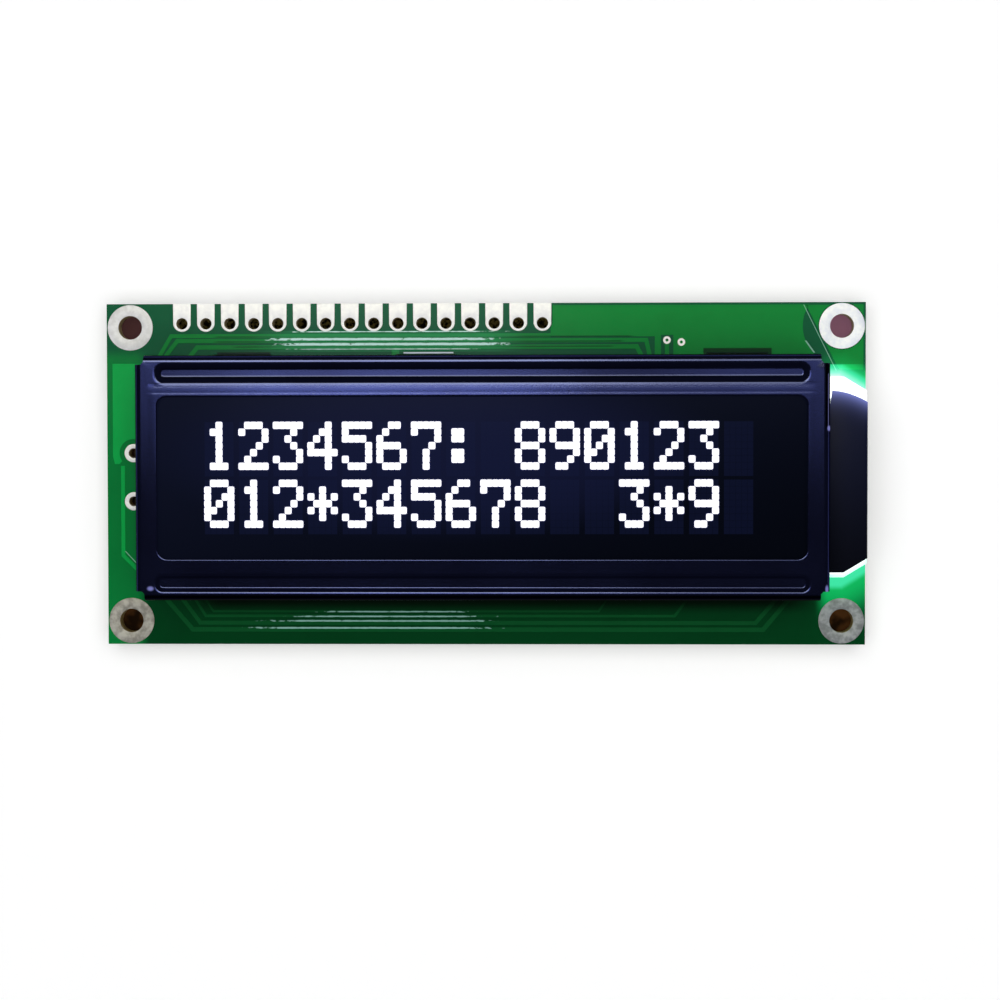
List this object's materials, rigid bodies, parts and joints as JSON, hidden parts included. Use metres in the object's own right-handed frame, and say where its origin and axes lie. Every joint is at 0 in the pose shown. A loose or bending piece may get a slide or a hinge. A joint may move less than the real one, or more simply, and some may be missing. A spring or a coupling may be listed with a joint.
{
  "type": "character display module",
  "caption": "Two-line character display module: a circuit board with a header row and corner holes carries a folded black bezel, a liquid-crystal cell and a side lamp house.",
  "frame": {"origin": "centre of the four mounting holes, on the circuit board's rear face", "axes": "+X along the module away from the first header hole, +Y towards the header row, +Z out of the display"},
  "size_m": [0.08, 0.036, 0.0099],
  "materials": {
    "laminate": "glass-fibre laminate under green lacquer",
    "masked_copper": "copper under green lacquer, satin",
    "gold_plate": "gold plated",
    "tin": "tinned copper, bright",
    "bezel_paint": "satin black",
    "polariser_film": "blue-black film",
    "cell_glass": "clear",
    "seal_resin": "matt",
    "elastomer": "striped, matt",
    "white_plastic": "white, satin",
    "white_film": "white, matt",
    "clear_acrylic": "clear, polished",
    "dark_tape": "blue-black, satin",
    "silicon": "polished",
    "potting_resin": "black, glossy",
    "capacitor_ceramic": "matt tan body, tinned ends",
    "resistor_ceramic": "black body, tinned ends",
    "lamp_body": "white body, yellow-tinted lens",
    "lead_metal": "tinned"
  },
  "bodies": {
    "root": {"bezel": "bezel_paint", "capacitor_1": "capacitor_ceramic", "cell_seal": "seal_resin", "chip_lands": "tin", "circuit_board": "laminate", "contact_fingers": "gold_plate", "controller_blob": "potting_resin", "controller_die": "silicon", "diffuser_sheet": "white_film", "driver_blob": "potting_resin", "driver_die": "silicon", "elastomer_strip_lower": "elastomer", "elastomer_strip_upper": "elastomer", "front_glass": "cell_glass", "front_polariser": "polariser_film", "front_pours": "masked_copper", "front_tracks": "masked_copper", "header_pad_01": "tin", "header_pad_02": "tin", "header_pad_03": "tin", "header_pad_04": "tin", "header_pad_05": "tin", "header_pad_06": "tin", "header_pad_07": "tin", "header_pad_08": "tin", "header_pad_09": "tin", "header_pad_10": "tin", "header_pad_11": "tin", "header_pad_12": "tin", "header_pad_13": "tin", "header_pad_14": "tin", "header_pad_15": "tin", "header_pad_16": "tin", "lamp_lead_1": "lead_metal", "lamp_lead_2": "lead_metal", "lamp_led_1": "lamp_body", "lamp_led_2": "lamp_body", "lamp_led_3": "lamp_body", "lamp_pad_1": "tin", "lamp_pad_2": "tin", "lamp_pad_3": "tin", "lamp_pad_4": "tin", "lamp_strip": "laminate", "lamp_tape": "dark_tape", "light_guide": "clear_acrylic", "light_holder": "white_plastic", "mounting_land_1": "tin", "mounting_land_2": "tin", "mounting_land_3": "tin", "mounting_land_4": "tin", "rear_glass": "cell_glass", "rear_polariser": "polariser_film", "reflector_sheet": "white_film", "resistor_1": "resistor_ceramic", "resistor_2": "resistor_ceramic", "resistor_3": "resistor_ceramic", "resistor_4": "resistor_ceramic", "resistor_5": "resistor_ceramic"}
  },
  "joints": []
}
